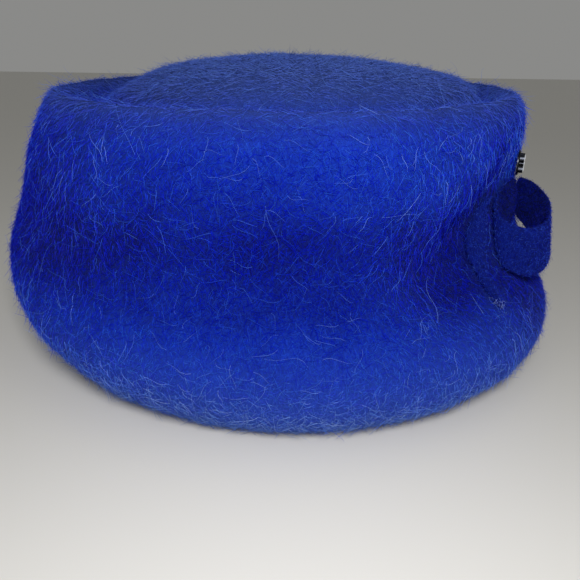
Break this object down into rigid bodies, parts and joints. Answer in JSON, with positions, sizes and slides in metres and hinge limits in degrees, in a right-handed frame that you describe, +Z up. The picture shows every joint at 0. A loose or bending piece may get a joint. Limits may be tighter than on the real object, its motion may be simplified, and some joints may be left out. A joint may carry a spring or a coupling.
{
  "type": "felt toque hat",
  "caption": "Blocked toque of long-haired felt with a low dome in a rim groove, a wall that swells and turns under, and a felt strip bow with a cut-stone button.",
  "frame": {"origin": "under the middle of the whole hat's box, on the surface that it rests on", "axes": "+Z up through the crown, +X towards the bow's side, -Y towards the front that the picture shows"},
  "size_m": [0.2538, 0.2486, 0.1284],
  "materials": {
    "long_haired_felt": "royal blue wool felt with a long, loosely brushed nap",
    "trim_felt": "royal blue felt strip with a short, dull nap",
    "button_metal": "dark bright-plated metal",
    "cut_glass": "clear faceted glass with a foiled back"
  },
  "bodies": {
    "root": {"hat_body": "long_haired_felt", "bow_loop": "trim_felt", "bow_tail": "trim_felt", "button_setting": "button_metal", "stone_middle": "cut_glass", "stone_upper_front": "cut_glass", "stone_upper_back": "cut_glass", "stone_lower_back": "cut_glass", "stone_lower_front": "cut_glass"}
  },
  "joints": []
}
